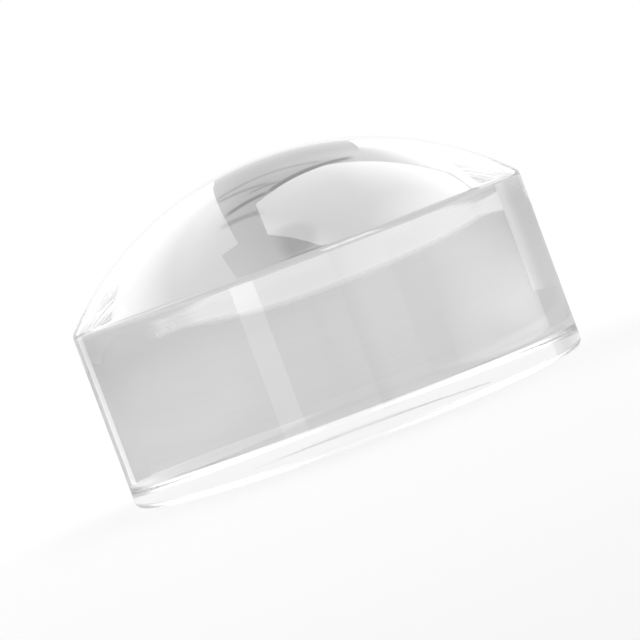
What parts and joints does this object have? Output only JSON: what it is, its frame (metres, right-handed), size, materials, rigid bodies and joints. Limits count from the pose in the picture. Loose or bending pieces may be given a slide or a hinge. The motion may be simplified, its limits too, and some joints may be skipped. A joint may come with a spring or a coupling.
{
  "type": "dome magnifier",
  "caption": "Clear solid acrylic dome lens on a short cylindrical body. It rests on a page and enlarges and brightens the print beneath it.",
  "frame": {"origin": "centre of the contact ring, on the plane of the page that the magnifier rests on", "axes": "+Z is the optical axis, pointing up through the dome; the lens is round about it, so X and Y are free"},
  "size_m": [0.065, 0.065, 0.0391],
  "materials": {
    "clear_acrylic": "water-clear acrylic (PMMA) with an optical polish all over, refractive index about 1.49, with faint concentric turning and polishing marks and fine hairline scratches from being slid over paper"
  },
  "bodies": {
    "root": {"lens_body": "clear_acrylic"}
  },
  "joints": []
}
